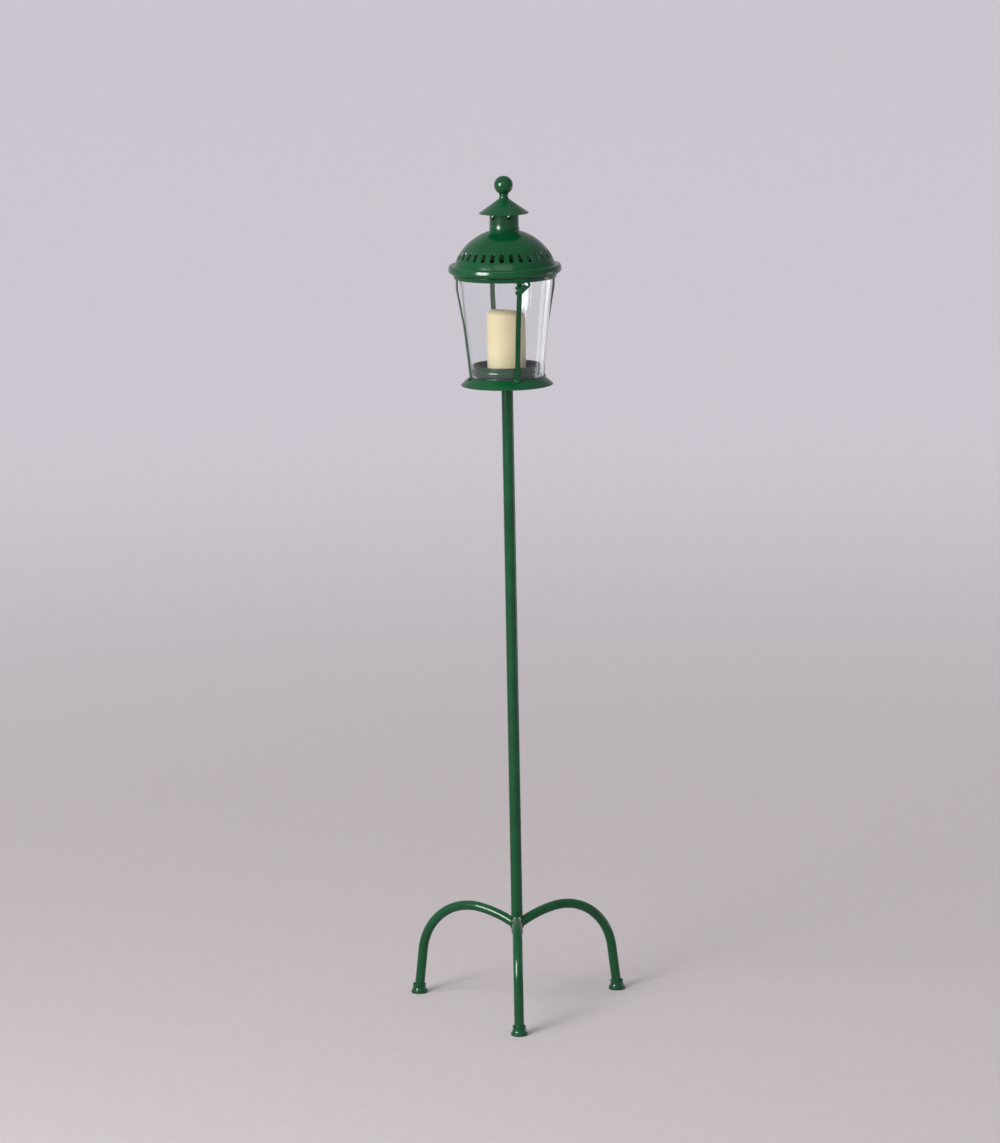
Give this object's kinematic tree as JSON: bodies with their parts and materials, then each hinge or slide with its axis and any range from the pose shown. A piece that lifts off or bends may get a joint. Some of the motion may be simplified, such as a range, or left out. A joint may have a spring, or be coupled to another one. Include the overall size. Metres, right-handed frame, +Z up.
{
  "type": "candle lantern on a tripod pole",
  "caption": "Decorative candle lantern in street-lamp style on a slim pole with three curved tube legs, with a domed hinged lid, clear tapered glass and a ball finial.",
  "frame": {"origin": "on the floor, under the pole's axis", "axes": "+Z up along the pole; front towards -Y, where one leg stands; the front strap and catch are 16 degrees from the front towards +X and the lid's hinge is opposite them"},
  "size_m": [0.3396, 0.2975, 1.3078],
  "materials": {
    "green_enamel": "gloss",
    "bare_steel": "satin",
    "clear_glass": "gloss",
    "candle_wax": "satin",
    "wick": "matte"
  },
  "bodies": {
    "stand": {"pole": "green_enamel", "leg_front": "green_enamel", "leg_right": "green_enamel", "leg_left": "green_enamel", "foot_front": "green_enamel", "foot_right": "green_enamel", "foot_left": "green_enamel", "pole_bottom_plug": "green_enamel", "pole_top_insert": "bare_steel", "base_flange": "green_enamel", "candle_cup": "green_enamel", "mounting_screw": "bare_steel", "glass_shade": "clear_glass", "strap_front": "green_enamel", "strap_right": "green_enamel", "strap_back": "green_enamel", "strap_left": "green_enamel", "strap_foot_rivets": "green_enamel", "strap_top_rivets": "green_enamel", "top_ring": "green_enamel", "hinge_ring_leaf": "green_enamel", "hinge_pin": "bare_steel", "catch_pivot": "green_enamel"},
    "lid": {"lid_dome": "green_enamel", "chimney": "green_enamel", "chimney_cap": "green_enamel", "cap_bridge": "bare_steel", "finial_stud": "bare_steel", "finial_neck": "green_enamel", "finial_ball": "green_enamel", "finial_nut": "bare_steel", "hinge_lid_leaf": "green_enamel", "lid_tongue": "green_enamel", "keeper_stud": "green_enamel"},
    "catch": {"catch_plate": "green_enamel"},
    "candle": {"candle": "candle_wax", "wick": "wick"}
  },
  "joints": [
    {"name": "lid_hinge", "type": "hinge", "parent": "stand", "child": "lid", "pos_m": [-0.02515, 0.0877, 1.1555], "axis": [-0.9613, -0.2756, 0], "range_deg": [0, 105]},
    {"name": "catch_swing", "type": "hinge", "parent": "stand", "child": "catch", "pos_m": [0.02315, -0.08075, 1.14], "axis": [0.2756, -0.9613, 0], "range_deg": [-35, 48]},
    {"name": "candle_lift", "type": "slide", "parent": "stand", "child": "candle", "axis": [0, 0, 1], "range_m": [0, 0.09]}
  ]
}
